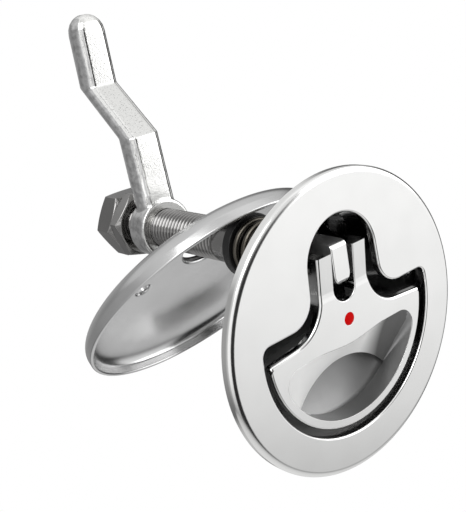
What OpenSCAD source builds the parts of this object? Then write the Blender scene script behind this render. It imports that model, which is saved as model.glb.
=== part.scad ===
// Flush turning lock for a hatch or locker lid: a round flanged cup with a folding
// pull handle, a spring-loaded threaded spindle, a dished backing plate and a locking arm.
// The front faces -Y, the spindle runs to +Y, and Z is up.
// The origin is the centre of the flange's rear face, which seats on the panel.

/* [Flange and cup] */
// Outer radius of the flange
flange_r = 38; // [36:0.5:42]
// Thickness of the flange
flange_t = 2.5; // [2.5:0.1:4]
// Radius of the rounded rim of the flange
rim_round = 1.1; // [0.6:0.1:1.6]
// Thickness of the lip that the cut-out is made in
lip_t = 2; // [1.4:0.1:2.2]
// Outer radius of the cup where it passes through the panel
cup_r = 31; // [30:0.25:33]
// Length of the straight part of the cup
cup_straight = 2.5; // [2:0.25:3]
// Wall thickness of the cup
cup_wall = 1.8; // [1.4:0.1:2.2]
// Depth of the finger bowl behind the flange's rear face
bowl_depth = 10; // [9:0.25:11]

/* [Cut-out] */
// How far the lip overhangs the cavity along the cut-out's lower arc
lip_overhang = 1; // [0.6:0.1:1.4]
// Height of the top edge of the cut-out's ears
cutout_ear_z = 5.1; // [4.5:0.1:6]
// Radius of the round head of the cut-out
head_r = 11.3; // [11:0.1:12]
// Height of the head's centre above the spindle
head_rise = 1.1; // [0.5:0.1:1.5]
// Half width of the neck where it meets the ears
neck_w = 12.4; // [12:0.1:13]
// Radius of the cut-out's shoulders
shoulder_r = 7; // [5:0.5:8]
// Radius of the cut-out's ear corners
ear_corner_r = 2.4; // [1.5:0.1:3]

/* [Handle] */
// Gap between the handle and the cut-out's lower arc
handle_gap = 2; // [1.8:0.1:2.4]
// Depth of the handle's face below the flange's face
handle_drop = 0.7; // [0.5:0.1:0.9]
// Thickness of the handle's plate
handle_t = 1.8; // [1.6:0.1:2]
// Depth of the rim round the finger opening, from the handle's face
finger_rim_depth = 5.6; // [5:0.1:5.8]
// Width of the rim round the finger opening
finger_rim_w = 2.2; // [1.8:0.1:2.4]
// How much narrower than the handle the rim is, so that it clears the cut-out when it turns
finger_rim_inset = 4.2; // [4.2:0.1:5]
// How much narrower again the rim is near its top, for the same reason
finger_rim_notch = 5; // [5:0.25:6]
// Height above which the rim is narrower, for the same reason
finger_rim_step_z = -3; // [-4:0.25:-3]
// Height of the ears' top edge
handle_ear_z = 0.9; // [0:0.1:1.4]
// How far the ears' top edge drops towards their tips
ear_fall = 1.2; // [0.5:0.1:2]
// Radius of the hollow between an ear and a prong
hollow_r = 10; // [9:0.5:11]
// Half width over the two prongs
prong_w = 8.7; // [8.4:0.1:9]
// Height of the prongs' square ends above the hinge pin
prong_rise = 3.2; // [2.8:0.1:3.4]
// Step from the plate down to the prongs' front faces
prong_step = 0.35; // [0.2:0.05:0.5]
// Width of the slot between the prongs
slot_w = 7.7; // [7.4:0.1:8]
// Height of the lowest point of the slot
slot_bottom_z = 6.1; // [5.5:0.1:7]
// Height of the finger opening's top edge on the centre line
finger_top_z = -4.9; // [-5.5:0.1:-4]
// Rise of that edge towards its two ends
finger_top_rise = 1.1; // [0.5:0.1:1.5]
// Radius of the finger opening's corners
finger_corner_r = 4.4; // [3:0.1:5]
// Drop of the scooped top wall from front to back
scoop_drop = 6; // [5:0.25:6.5]
// Height of the red dot's centre
dot_z = 1.3; // [0.5:0.1:2]
// Radius of the red dot
dot_r = 1.65; // [1.2:0.05:2]
// Depth of the red dot's pocket
dot_depth = 0.5; // [0.4:0.1:0.8]

/* [Hinge] */
// Radius of the hinge pin
pin_r = 1.75; // [1.5:0.05:2]
// Length of the hinge pin
pin_length = 21; // [18:0.5:22]
// Depth of the pin behind the flange's rear face
pin_y = 3.5; // [3.3:0.1:3.8]
// Running clearance of the pin in the handle
pin_clearance = 0.05; // [0.02:0.01:0.1]
// Radius of the eyes at the ends of the prongs
prong_eye_r = 3.9; // [3.4:0.1:4]
// Half height of the spindle's eye
lug_r = 5.5; // [5:0.1:5.5]
// Width of the spindle's eye
lug_w = 5.7; // [5.4:0.1:6]
// Radius of the rounded ends of the spindle's eye
lug_corner_r = 2.6; // [2:0.1:3]
// Depth of the eye's flat front behind the handle's face
lug_drop = 0.1; // [0:0.1:0.5]

/* [Spindle] */
// Height of the spindle's axis above the flange's centre
spindle_z = 15.5; // [15:0.1:16]
// Radius of the spindle's shank and of its thread's crests
stem_r = 6; // [5.5:0.1:6.25]
// Depth of the spindle's end behind the flange's rear face
stem_end = 96; // [94:1:104]
// Depth at which the spindle's thread starts behind the flange's rear face
thread_start = 40.6; // [38:0.2:42]
// Pitch of the spindle's thread
thread_pitch = 1.5; // [1.5:0.25:2]
// Depth of the spindle's thread
thread_depth = 0.85; // [0.5:0.05:0.9]
// Radius of the spindle's head
spindle_head_r = 9.6; // [9:0.1:10]
// Thickness of the spindle's head
spindle_head_t = 2.2; // [1.8:0.1:2.6]
// Gap between the prongs' eyes and the spindle's head
head_gap = 1; // [0.8:0.1:1.4]
// Thickness of the plastic washer under the spindle's head
seat_washer_t = 0.8; // [0.6:0.1:1.2]
// Radius of the well that the handle turns in
well_r = 12; // [11.6:0.1:12.5]
// Radius of the bearing boss behind the cup
boss_r = 10; // [9.5:0.25:11]
// Depth of the boss's rear face behind the flange's rear face
boss_end = 18; // [17:0.5:19]
// Running clearance of the shank in the boss
shank_clearance = 0.06; // [0.03:0.01:0.1]
// Thickness of the sealing ring's section
seal_d = 1.4; // [1.2:0.1:1.6]

/* [Spring] */
// Diameter of the spring's wire
wire_d = 1.6; // [1.4:0.1:1.8]
// Mean radius of the spring's coils
coil_r = 7.2; // [7.1:0.1:7.6]
// Number of the spring's turns
turns = 4; // [3:0.5:4.5]
// Length of the fitted spring
spring_length = 11.7; // [10:0.1:14]
// Outer radius of the thrust washer
thrust_r = 8.8; // [8.6:0.1:10]
// Thickness of the thrust washer
thrust_t = 2.8; // [2:0.1:3.2]
// Radius of the retaining pin behind the thrust washer
retainer_r = 1.5; // [1.25:0.05:1.75]
// Length of the retaining pin
retainer_length = 15; // [14:0.5:17]

/* [Backing plate] */
// Outer radius of the backing plate
plate_r = 40.5; // [38:0.5:42]
// Depth of the plate's dish as a share of its radius
plate_depth_share = 0.1975; // [0.15:0.0025:0.2]
// Thickness of the plate's sheet
plate_t = 1.2; // [1:0.1:1.5]
// Radius of the dish's flat bottom as a share of the plate's radius
plate_flat_share = 0.5432; // [0.5:0.005:0.56]
// Height of the upright skirt above the dish's curved wall
plate_skirt = 2.2; // [1.5:0.1:3]
// Distance of the spindle's hole from the plate's centre as a share of the plate's radius
plate_offset_share = 0.395; // [0.37:0.005:0.41]
// How far the plate lies behind the place where a cone under its rim would meet the thrust washer
plate_gap = 0; // [0:0.1:1]
// Angle at which the loose plate leans on the spindle
plate_tilt = 45; // [40:1:46]
// Clearance between the plate's hole and the leaning spindle
plate_clearance = 0.3; // [0.2:0.05:0.5]
// Height of the collar turned up round each hole
collar = 1; // [0.6:0.1:1.2]
// Radius of the plate's two screw holes
screw_hole_r = 2.2; // [1.8:0.1:2.6]
// Distance between the plate's two screw holes
screw_spacing = 40; // [36:1:44]
// Height of the screw holes above the plate's centre
screw_rise = 2.5; // [0:0.5:5]

/* [Arm and nuts] */
// Depth of the arm hub's front face behind the flange's rear face
arm_y = 70; // [68:1:74]
// Thickness of the arm's hub
hub_t = 7.5; // [7:0.25:9]
// Outer radius of the arm's hub
hub_r = 9; // [8.5:0.25:11]
// Length of the arm from the spindle's axis to its tip
arm_length = 64.5; // [60:1:72]
// Offset of the arm's tip behind its hub
arm_offset = 18; // [14:1:20]
// Height of the first bend above the spindle's axis
bend_low = 28.5; // [26:1:31]
// Height of the second bend above the spindle's axis
bend_high = 43.5; // [41:1:46]
// Width of the arm
arm_w = 12; // [10:0.5:13]
// Thickness of the arm
arm_t = 7.6; // [6:0.2:9]
// Width of the bevels along the arm's edges
arm_bevel = 1.9; // [1.2:0.1:2.4]
// Clearance between the thread's crests and the pieces screwed on it
thread_clearance = 0.1; // [0.05:0.01:0.15]
// Width of the nuts across their flats
nut_af = 19; // [18:0.5:20]
// Thickness of the end nut
end_nut_t = 8; // [7:0.5:10]
// Thickness of the jam nut
jam_nut_t = 4.6; // [4:0.2:6]
// Gap between the arm's hub and the jam nut
nut_gap = 4; // [3:0.25:6]
// Gap between the two nuts
jam_gap = 0.3; // [0.2:0.1:0.6]
// Angle by which the jam nut is turned against the end nut
jam_twist = 14; // [0:1:30]

/* [Hidden] */

$fn = 96;
eps = 0.01;
stem_chamfer = 1;
hub_chamfer = 0.8;
seal_gap = 0.02;
lens_share = 0.8;
step_low = 2;
step_high = 4;
nut_face_share = 0.475;
nut_chamfer_angle = 25;
front_y = -flange_t;
lip_back_y = front_y + lip_t;
face_y = front_y + handle_drop;
lug_front_y = face_y + lug_drop;
head_z = spindle_z + head_rise;
cavity_r = cup_r - cup_wall;
cutout_r = cavity_r - lip_overhang;
handle_r = cutout_r - handle_gap;
finger_r = handle_r - finger_rim_w;
finger_back_y = face_y + finger_rim_depth;
head_y = pin_y + prong_eye_r + head_gap;
head_back_y = head_y + spindle_head_t;
well_y = head_back_y + seat_washer_t;
bore_r = stem_r + shank_clearance;
seal_y = (well_y + boss_end) / 2;
seal_mid_r = bore_r - seal_gap - seal_d / 2;
groove_r = seal_mid_r - seal_d / 2;
thrust_y = boss_end + spring_length;
retainer_y = thrust_y + thrust_t + retainer_r;
thread_r = stem_r + thread_clearance;
plate_depth = plate_r * plate_depth_share;
plate_flat_r = plate_r * plate_flat_share;
plate_offset = plate_r * plate_offset_share;
wall_slope = plate_depth / (plate_r - plate_flat_r);
washer_reach = wall_slope * (plate_offset + thrust_r * cos(plate_tilt) - plate_flat_r);
plate_y = thrust_y + thrust_t + (thrust_r * sin(plate_tilt) + washer_reach + plate_gap)
    / (cos(plate_tilt) - wall_slope * sin(plate_tilt));
jam_y = arm_y + hub_t + nut_gap;
end_nut_y = jam_y + jam_nut_t + jam_gap;
nut_face_r = nut_af * nut_face_share;
nut_turned_r = nut_af / 2 / cos(30) + 0.5;
nut_chamfer = (nut_turned_r - nut_face_r) * tan(nut_chamfer_angle);

// A flat outline drawn in X and Z, given depth from y0 to y1
module slab(y0, y1) rotate([90, 0, 0]) translate([0, 0, -y1]) linear_extrude(y1 - y0) children();

// A profile of radius and depth, turned about an axis along Y at height z
module turned(z = 0, sides = 96) translate([0, 0, z]) rotate([-90, 0, 0]) rotate_extrude($fn = sides) children();

// A round bar along Y
module bar_y(r, y0, y1, z = spindle_z)
    translate([0, y0, z]) rotate([-90, 0, 0]) cylinder(r = r, h = y1 - y0);

// A round bar along X through the hinge axis or any other depth
module bar_x(r, length, y, z = spindle_z)
    translate([-length / 2, y, z]) rotate([0, 90, 0]) cylinder(r = r, h = length);

// The points of an arc
function arc(cx, cy, r, a0, a1, n) = [for (i = [0:n]) let (a = a0 + (a1 - a0) * i / n)
    [cx + r * cos(a), cy + r * sin(a)]];

// Flange and cup

module cutout_outline() {
    $fn = 64;
    offset(r = ear_corner_r) offset(delta = -ear_corner_r)
    offset(r = -shoulder_r) offset(delta = shoulder_r) union() {
        intersection() {
            circle(r = cutout_r);
            translate([-cutout_r, -cutout_r]) square([2 * cutout_r, cutout_r + cutout_ear_z]);
        }
        translate([0, head_z]) circle(r = head_r);
        polygon([[-neck_w, 0], [neck_w, 0], [head_r, head_z], [-head_r, head_z]]);
    }
}

module flange_profile() polygon(concat(
    [[0, 0], [flange_r, 0]],
    arc(flange_r - rim_round, front_y + rim_round, rim_round, 0, -90, 8),
    [[0, front_y]]));

module cup_profile() polygon(concat(
    [[0, -eps], [cup_r, -eps], [cup_r, cup_straight]],
    [for (a = [6:6:90]) [cup_r * cos(a), cup_straight + (bowl_depth + cup_wall - cup_straight) * sin(a)]]));

module bowl_profile() polygon(concat(
    [[0, lip_back_y], [cavity_r, lip_back_y], [cavity_r, 0]],
    [for (a = [6:6:90]) [cavity_r * cos(a), bowl_depth * sin(a)]]));

module housing() color("gainsboro") difference() {
    union() {
        turned() flange_profile();
        turned() cup_profile();
        bar_y(well_r + cup_wall, 0, well_y + cup_wall);
        bar_y(boss_r, well_y, boss_end);
    }
    turned() bowl_profile();
    bar_y(well_r, lip_back_y, well_y);
    bar_y(bore_r, well_y - 1, boss_end + 1);
    slab(front_y - 1, lip_back_y + eps) cutout_outline();
}

// Handle

module handle_outline() difference() {
    union() {
        offset(r = -hollow_r, $fn = 64) offset(delta = hollow_r) union() {
            intersection() {
                circle(r = handle_r);
                polygon([[-handle_r, -handle_r], [handle_r, -handle_r], [handle_r, handle_ear_z - ear_fall],
                         [handle_r / 2, handle_ear_z], [-handle_r / 2, handle_ear_z],
                         [-handle_r, handle_ear_z - ear_fall]]);
            }
            translate([-prong_w, -eps]) square([2 * prong_w, spindle_z + prong_rise]);
        }
    }
    slot_outline();
}

module slot_outline() {
    translate([0, slot_bottom_z + slot_w / 2]) circle(d = slot_w);
    translate([-slot_w / 2, slot_bottom_z + slot_w / 2]) square([slot_w, spindle_z]);
}

// The bean-shaped finger opening as it shows on the handle's face
module finger_outline() offset(r = finger_corner_r, $fn = 40) offset(delta = -finger_corner_r)
    difference() {
        circle(r = finger_r);
        polygon([[-flange_r, flange_r], [-flange_r, finger_top_z + finger_top_rise],
                 [-finger_r / 2, finger_top_z + finger_top_rise], [0, finger_top_z],
                 [finger_r / 2, finger_top_z + finger_top_rise],
                 [flange_r, finger_top_z + finger_top_rise], [flange_r, flange_r]]);
    }

// The lens that the opening narrows to at the back, below the scooped top wall
module lens_outline() intersection() {
    circle(r = finger_r);
    translate([0, finger_top_z - scoop_drop - finger_r * lens_share]) circle(r = finger_r * lens_share);
}

// The handle seen from the side: a plate with stepped prongs that carry the hinge eyes
module handle_side() polygon([
    [face_y, -handle_r - 1], [face_y, slot_bottom_z + step_low], [face_y + prong_step, slot_bottom_z + step_high],
    [face_y + prong_step, spindle_z + prong_rise], [pin_y, spindle_z + prong_rise],
    [pin_y + prong_eye_r * cos(45), spindle_z - prong_eye_r * sin(45)],
    [face_y + handle_t, slot_bottom_z], [face_y + handle_t, -handle_r - 1]]);

module handle() color("whitesmoke") difference() {
    union() {
        intersection() {
            slab(front_y - 1, pin_y + lug_r) handle_outline();
            union() {
                translate([-flange_r, 0, 0]) rotate([90, 0, 90])
                    linear_extrude(2 * flange_r) handle_side();
                bar_x(prong_eye_r, 2 * prong_w, pin_y);
            }
        }
        slab(face_y + handle_t - eps, finger_back_y) finger_rim_outline();
    }
    for (side = [0, 1]) mirror([side, 0, 0]) finger_opening_half();
    bar_x(pin_r + pin_clearance, pin_length + 2, pin_y);
    bar_y(dot_r, face_y - 1, face_y + dot_depth, dot_z);
}

// Half of the finger opening, from the bean on the face to the lens at the back
module finger_opening_half() hull() {
    slab(face_y - 1, face_y) right_half() finger_outline();
    slab(finger_back_y, finger_back_y + 1) right_half() lens_outline();
}

module right_half() intersection() {
    children();
    translate([-eps, -flange_r]) square([flange_r, 2 * flange_r]);
}

module centred_square(half_width, top) translate([-half_width, -handle_r])
    square([2 * half_width, handle_r + top]);

module finger_rim_outline() intersection() {
    circle(r = handle_r);
    union() {
        centred_square(handle_r - finger_rim_inset, finger_rim_step_z);
        centred_square(handle_r - finger_rim_inset - finger_rim_notch, 0);
    }
    offset(r = finger_rim_w, $fn = 40) finger_outline();
}

module red_dot() color("red") bar_y(dot_r, face_y, face_y + dot_depth, dot_z);

// Hinge

module hinge_pin() color("silver") bar_x(pin_r, pin_length, pin_y);

// Spindle

// The eye's side view: a tab with a flat front and rounded ends
module lug_side() translate([lug_front_y + lug_corner_r, spindle_z - lug_r + lug_corner_r])
    offset(r = lug_corner_r, $fn = 48) square([head_y - lug_front_y, 2 * (lug_r - lug_corner_r)]);

// The thread as rings of its pitch, each with a flat crest and a groove
module thread_profile() {
    rings = floor((stem_end - stem_chamfer - thread_start) / thread_pitch);
    polygon(concat([[0, thread_start]], [for (i = [0:rings - 1]) let (y = thread_start + i * thread_pitch)
        each [[stem_r, y], [stem_r, y + thread_pitch / 4], [stem_r - thread_depth, y + thread_pitch * 5 / 8]]],
        [[stem_r, thread_start + rings * thread_pitch], [stem_r, stem_end - stem_chamfer],
         [stem_r - stem_chamfer, stem_end], [0, stem_end]]));
}

module spindle() color("silver") difference() {
    union() {
        intersection() {
            translate([-lug_w / 2, 0, 0]) rotate([90, 0, 90]) linear_extrude(lug_w) lug_side();
            translate([-lug_w, lug_front_y - 1, 0]) cube([2 * lug_w, head_back_y - 0.5 - lug_front_y, 2 * spindle_z]);
        }
        bar_y(spindle_head_r, head_y, head_back_y);
        bar_y(stem_r, head_back_y - eps, thread_start + eps);
        turned(spindle_z, 40) thread_profile();
    }
    bar_x(pin_r, pin_length, pin_y);
    turned(spindle_z) translate([groove_r, seal_y - seal_d / 2]) square([stem_r, seal_d]);
    bar_x(retainer_r, retainer_length, retainer_y);
}

module seat_washer() color("dimgray") difference() {
    bar_y(spindle_head_r, head_back_y, well_y);
    bar_y(bore_r, head_back_y - 1, well_y + 1);
}

module seal_ring() color("black")
    turned(spindle_z) translate([seal_mid_r, seal_y]) circle(d = seal_d, $fn = 32);

// Spring

wire_sides = 10;
steps_per_turn = 24;
coil_steps = turns * steps_per_turn;
coil_travel = spring_length - wire_d;

// The axial place of a coil, with the first and last half turn closed down on their seats
function coil_y(u) = let (flat = 0.5 / turns)
    coil_travel * (u < flat ? 0 : u > 1 - flat ? 1 : (u - flat) / (1 - 2 * flat));

module spring() color("gray") {
    rings = [for (i = [0:coil_steps]) let (u = i / coil_steps, a = 360 * turns * u)
        [for (k = [0:wire_sides - 1]) let (b = 360 * k / wire_sides, r = coil_r + wire_d / 2 * cos(b))
            [r * cos(a), boss_end + wire_d / 2 + coil_y(u) + wire_d / 2 * sin(b), spindle_z + r * sin(a)]]];
    first = [for (k = [0:wire_sides - 1]) wire_sides - 1 - k];
    last = [for (k = [0:wire_sides - 1]) coil_steps * wire_sides + k];
    sides = [for (i = [0:coil_steps - 1], k = [0:wire_sides - 1])
        let (a = i * wire_sides, b = a + wire_sides, next = (k + 1) % wire_sides)
            [a + k, a + next, b + next, b + k]];
    polyhedron(points = [for (ring = rings) each ring], faces = concat([first, last], sides));
}

module thrust_washer() color("black") difference() {
    bar_y(thrust_r, thrust_y, thrust_y + thrust_t);
    bar_y(bore_r, thrust_y - 1, thrust_y + thrust_t + 1);
}

module retaining_pin() color("dimgray") bar_x(retainer_r, retainer_length, retainer_y);

// Backing plate

// The hole is wide enough for the plate to lean on the spindle
plate_hole_r = (stem_r + plate_clearance) / cos(plate_tilt) + (plate_t + collar) / 2 * tan(plate_tilt);

// The dish in section: a flat bottom, a wall that curves up and a short upright skirt
wall_steps = 12;
wall_inner = [for (i = [0:wall_steps]) let (a = 90 * i / wall_steps)
    [plate_flat_r + (plate_r - plate_t - plate_flat_r) * pow(sin(a), 1.1),
     (plate_depth - plate_skirt) * pow(1 - cos(a), 1.15)]];
wall_outer = [for (i = [wall_steps:-1:1]) let (low = wall_inner[i - 1], high = wall_inner[i], way = high - low)
    (low + high) / 2 + [way[1], -way[0]] * plate_t / norm(way)];

module plate_section() polygon(concat([[0, 0]], wall_inner,
    arc(plate_r - plate_t / 2, plate_depth - plate_t / 2, plate_t / 2, 180, 0, 4), wall_outer, [[0, -plate_t]]));

module collar_at(x, y, r) translate([x, y, -plate_t - collar]) cylinder(r = r + plate_t, h = collar + eps);

module backing_plate() color("silver")
    translate([0, plate_y, spindle_z]) rotate([90 + plate_tilt, 0, 0])
    translate([0, -plate_offset, (plate_t + collar) / 2]) difference() {
        union() {
            rotate_extrude() plate_section();
            collar_at(0, plate_offset, plate_hole_r);
            for (x = [-1, 1]) collar_at(x * screw_spacing / 2, screw_rise, screw_hole_r);
        }
        translate([0, plate_offset, -plate_t - collar - 1])
            cylinder(r = plate_hole_r, h = plate_t + collar + 2);
        for (x = [-1, 1]) translate([x * screw_spacing / 2, screw_rise, -plate_t - collar - 1])
            cylinder(r = screw_hole_r, h = plate_t + collar + 2);
    }

// Arm and nuts

// One level cut through the arm, with bevelled edges
module arm_section(z, offset_y, w = arm_w, t = arm_t)
    translate([0, arm_y + offset_y + arm_t / 2, spindle_z + z]) linear_extrude(eps)
        polygon([for (s = [[-1, -1], [1, -1], [1, 1], [-1, 1]], swap = [0, 1])
            let (first = (s[0] * s[1] > 0) == (swap == 0))
                [s[0] * (w / 2 - (first ? 0 : arm_bevel)), s[1] * (t / 2 - (first ? arm_bevel : 0))]]);

module arm_bar() {
    stations = [[hub_r * 0.6, 0, 1], [bend_low, 1.5, 0.97], [bend_high, arm_offset, 0.93],
                [arm_length - 4, arm_offset, 0.9], [arm_length - 1.2, arm_offset, 0.75],
                [arm_length, arm_offset, 0.5]];
    for (i = [0:len(stations) - 2]) hull() for (s = [stations[i], stations[i + 1]])
        arm_section(s[0], s[1], arm_w * s[2], arm_t * min(1, s[2] + 0.1));
}

module arm() color("lightgray") difference() {
    union() {
        turned(spindle_z) polygon([[0, arm_y], [hub_r - hub_chamfer, arm_y], [hub_r, arm_y + hub_chamfer],
            [hub_r, arm_y + hub_t - hub_chamfer], [hub_r - hub_chamfer, arm_y + hub_t], [0, arm_y + hub_t]]);
        arm_bar();
    }
    bar_y(thread_r, arm_y - 1, arm_y + hub_t + 1);
}

// A hexagon nut with its corners turned off at both ends
module nut(y, thickness, twist) translate([0, y, spindle_z]) rotate([-90, 0, 0]) difference() {
    intersection() {
        rotate([0, 0, twist]) cylinder(d = nut_af / cos(30), h = thickness, $fn = 6);
        rotate_extrude() polygon([[0, 0], [nut_face_r, 0], [nut_turned_r, nut_chamfer],
            [nut_turned_r, thickness - nut_chamfer], [nut_face_r, thickness], [0, thickness]]);
    }
    translate([0, 0, -1]) cylinder(r = thread_r, h = thickness + 2);
}

module jam_nut() color("gray") nut(jam_y, jam_nut_t, jam_twist);

module end_nut() color("darkgray") nut(end_nut_y, end_nut_t, 0);

housing();
handle();
red_dot();
hinge_pin();
spindle();
seat_washer();
seal_ring();
spring();
thrust_washer();
retaining_pin();
backing_plate();
arm();
jam_nut();
end_nut();
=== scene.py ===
"""A flush turning lock in polished stainless steel, dressed around its CAD frame.

The front faces -Y, the spindle runs to +Y and Z is up. Sizes in the code are millimetres.
"""

import math

import bmesh
import bpy
from mathutils import Matrix, Vector


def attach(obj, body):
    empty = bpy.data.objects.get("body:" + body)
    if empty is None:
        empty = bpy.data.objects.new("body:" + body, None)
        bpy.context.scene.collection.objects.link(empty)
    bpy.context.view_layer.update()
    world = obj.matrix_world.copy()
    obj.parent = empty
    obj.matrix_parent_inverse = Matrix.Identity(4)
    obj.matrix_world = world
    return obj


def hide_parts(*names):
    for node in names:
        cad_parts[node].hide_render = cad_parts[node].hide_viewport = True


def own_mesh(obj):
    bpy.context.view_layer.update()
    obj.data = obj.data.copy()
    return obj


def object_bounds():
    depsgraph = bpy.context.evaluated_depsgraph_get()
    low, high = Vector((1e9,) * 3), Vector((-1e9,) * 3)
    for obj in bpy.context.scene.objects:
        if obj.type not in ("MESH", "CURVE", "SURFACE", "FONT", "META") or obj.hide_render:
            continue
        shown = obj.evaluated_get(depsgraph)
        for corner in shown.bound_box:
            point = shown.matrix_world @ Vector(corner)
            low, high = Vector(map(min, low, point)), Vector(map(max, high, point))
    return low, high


bl_info = {
    "name": "Flush turning lock",
    "version": (1, 0, 0),
    "blender": (4, 5, 0),
    "location": "View3D > Sidebar > Turning lock",
    "description": "Builds a flush turning lock with its handle, spindle, spring, plate, arm and nuts",
    "category": "Object",
}

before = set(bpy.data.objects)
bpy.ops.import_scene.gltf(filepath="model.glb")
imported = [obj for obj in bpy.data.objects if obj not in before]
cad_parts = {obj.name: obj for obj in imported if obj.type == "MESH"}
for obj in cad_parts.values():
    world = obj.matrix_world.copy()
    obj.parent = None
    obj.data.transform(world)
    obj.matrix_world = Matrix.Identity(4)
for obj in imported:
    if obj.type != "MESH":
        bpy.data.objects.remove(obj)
cad_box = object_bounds()

MM = 0.001

# Places that the pieces share, all in millimetres in the CAD frame
FRONT_Y = -2.5
FACE_Y = -1.8
PIN_Y = 3.5
SPINDLE_Z = 15.5
HEAD_Y = 8.4
HEAD_BACK_Y = 10.6
WELL_Y = 11.4
BOSS_END = 18.0
THRUST_Y = 29.7
RETAINER_Y = 34.0
ARM_Y = 70.0
JAM_Y = 81.5
END_NUT_Y = 86.4
STEM_END = 96.0
PLATE_Y = 48.24
PLATE_TILT = 45.0

# Radii that the pieces share
STEM_R = 6.0
BORE_R = 6.06
THREAD_HOLE_R = 6.1
ROUND = 160


# Sizes and colours


class LockSizes(bpy.types.PropertyGroup):
    cutout_round: bpy.props.FloatProperty(
        name="Cut-out edge", description="Rounding of the cut-out's front edge, mm",
        default=0.5, min=0.1, max=0.8)
    handle_round: bpy.props.FloatProperty(
        name="Handle edge", description="Rounding of the handle's outer edges, mm",
        default=0.8, min=0.1, max=1.0)
    thread_pitch: bpy.props.FloatProperty(
        name="Thread pitch", description="Pitch of the spindle's thread, mm",
        default=1.5, min=1.0, max=2.0)
    thread_depth: bpy.props.FloatProperty(
        name="Thread depth", description="Depth of the spindle's thread, mm",
        default=0.85, min=0.4, max=1.1)
    spring_turns: bpy.props.FloatProperty(
        name="Spring turns", description="Number of the spring's turns",
        default=4.0, min=3.0, max=4.5)
    wire_radius: bpy.props.FloatProperty(
        name="Wire radius", description="Radius of the spring's wire, mm",
        default=0.8, min=0.7, max=0.9)
    arm_skin: bpy.props.FloatProperty(
        name="Arm grain", description="Size of the voxels that soften the cast arm, mm",
        default=0.3, min=0.25, max=0.8)


class LockFinish(bpy.types.PropertyGroup):
    polished: bpy.props.StringProperty(
        name="Polished steel", description="sRGB hex of the polished castings", default="#F8F8F7")
    machined: bpy.props.StringProperty(
        name="Machined steel", description="sRGB hex of the turned steel", default="#989796")
    spring: bpy.props.StringProperty(
        name="Spring steel", description="sRGB hex of the spring wire", default="#6A665F")
    sheet: bpy.props.StringProperty(
        name="Pressed sheet", description="sRGB hex of the backing plate", default="#D2D2D2")
    cast: bpy.props.StringProperty(
        name="Satin casting", description="sRGB hex of the arm", default="#F6F6F4")
    # The arm's sides: a darker colour that is painted shade
    side: bpy.props.StringProperty(
        name="Arm's sides", description="sRGB hex of the arm's tumbled sides", default="#D6D6D6")
    # The cup's inside: its unpolished skin, darkened further by painted shade
    inner: bpy.props.StringProperty(
        name="Inner casting", description="sRGB hex of the cup's darker inside", default="#8A8A8A")
    # The walls in the finger opening and the eye's sides: a mid grey that is painted shade
    bowl: bpy.props.StringProperty(
        name="Brushed casting", description="sRGB hex of the brushed walls", default="#989898")
    plastic: bpy.props.StringProperty(
        name="Black plastic", description="sRGB hex of the washers", default="#161616")
    enamel: bpy.props.StringProperty(
        name="Red enamel", description="sRGB hex of the dot", default="#D00000")


# Materials

# How much lighter, as painted light, the cup's brushed floor is than its inside in painted shade, and where
# one meets the other
PAINTED_FLOOR_LIGHT = 1.24
BRUSHED_DEPTH = (0.8, 1.6)
BRUSHED_HEIGHT = (-1.0, -4.0)
# Radii between which the thread goes from painted shade in its roots to unshaded crests
ROOT_SHADE_R = (5.3, 5.9)
# How far right of the middle the painted shade on the scoop starts and reaches its darkest
SCOOP_SHADE_X = (7.0, 13.0)


def linear(hex_colour):
    """An sRGB hex value as the linear RGBA that a shader takes."""
    parts = [int(hex_colour[i:i + 2], 16) / 255 for i in (1, 3, 5)]
    return [c / 12.92 if c <= 0.04045 else ((c + 0.055) / 1.055) ** 2.4 for c in parts] + [1]


def add(tree, kind, settings=None, **links):
    """Adds one node; a link is an output socket or a plain value for the input of that name."""
    node = tree.nodes.new(kind)
    for key, value in (settings or {}).items():
        setattr(node, key, value)
    for key, value in links.items():
        name = key.replace("_", " ")
        socket = node.inputs[int(key[1:])] if key[0] == "i" and key[1:].isdigit() else node.inputs[name]
        if isinstance(value, bpy.types.NodeSocket):
            tree.links.new(value, socket)
        else:
            socket.default_value = value
    return node


def sums(tree):
    """Gives a function that adds one sum to a tree, of sockets and plain numbers."""
    def do(operation, *values):
        return add(tree, "ShaderNodeMath", {"operation": operation},
                   **{f"i{i}": v for i, v in enumerate(values)}).outputs[0]
    return do


def new_material(name):
    """A material with its nodes and shader, or the one of that name without them if it is there already."""
    material = bpy.data.materials.get(name)
    if material:
        return material, None, None
    material = bpy.data.materials.new(name)
    material.use_nodes = True
    tree = material.node_tree
    return material, tree, tree.nodes["Principled BSDF"]


def darkened(tree, shader, share):
    """Scales a shader's base colour by a share that changes over the surface."""
    colour = shader.inputs["Base Color"].links[0].from_socket
    shade = add(tree, "ShaderNodeVectorMath", {"operation": "SCALE"}, i0=colour, Scale=share)
    tree.links.new(shade.outputs["Vector"], shader.inputs["Base Color"])


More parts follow.
